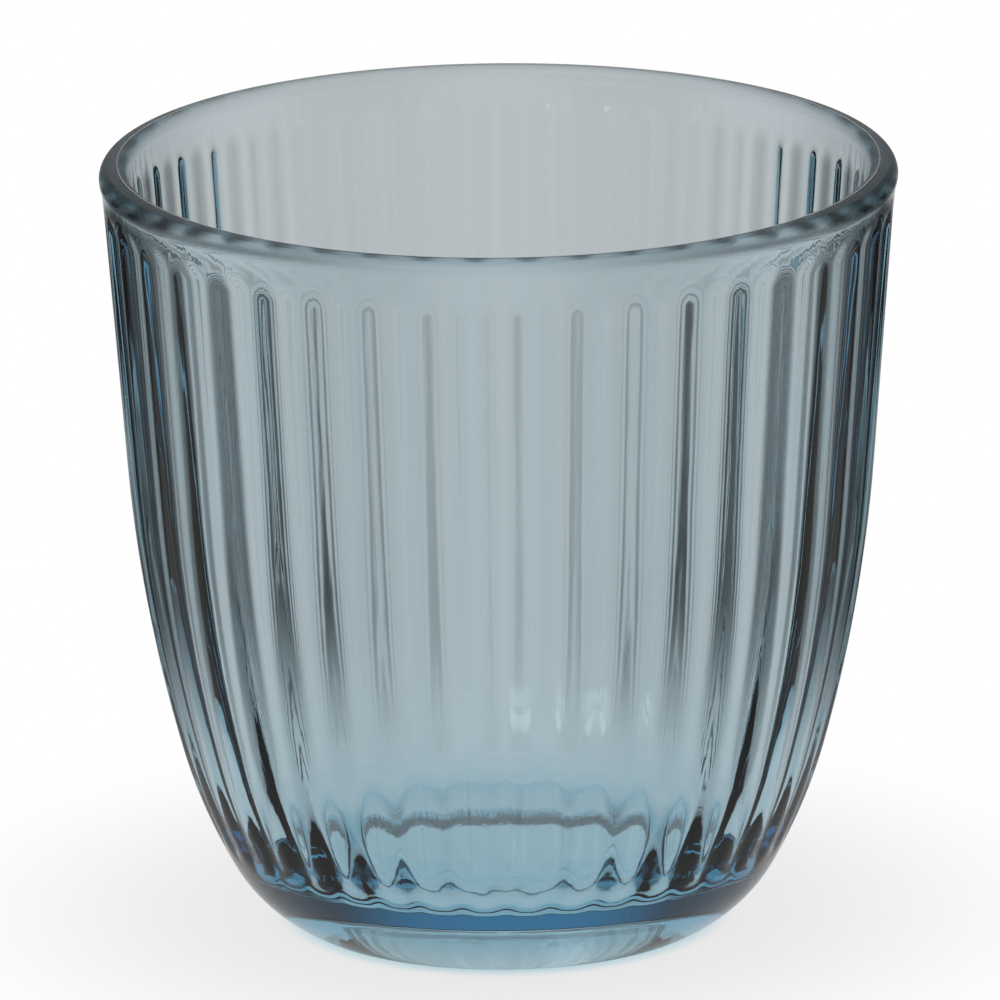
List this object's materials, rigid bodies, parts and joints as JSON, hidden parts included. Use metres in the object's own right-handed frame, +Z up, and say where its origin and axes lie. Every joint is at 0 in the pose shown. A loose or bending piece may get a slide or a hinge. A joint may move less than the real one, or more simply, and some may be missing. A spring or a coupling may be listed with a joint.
{
  "type": "glass bud vase",
  "caption": "Wide-mouthed pressed-glass vase with vertical outer flutes, a rounded lip and a hollow foot ring.",
  "frame": {"origin": "centre of the underside, on the plane that the vase stands on", "axes": "+Z up along the axis of the vase; +X and +Y level, with the middle of a flute facing -Y"},
  "size_m": [0.088, 0.088, 0.0863],
  "materials": {
    "glass": "polished blue-grey pressed glass"
  },
  "bodies": {
    "root": {"base": "glass", "fluted_body": "glass", "lip_ring": "glass"}
  },
  "joints": []
}
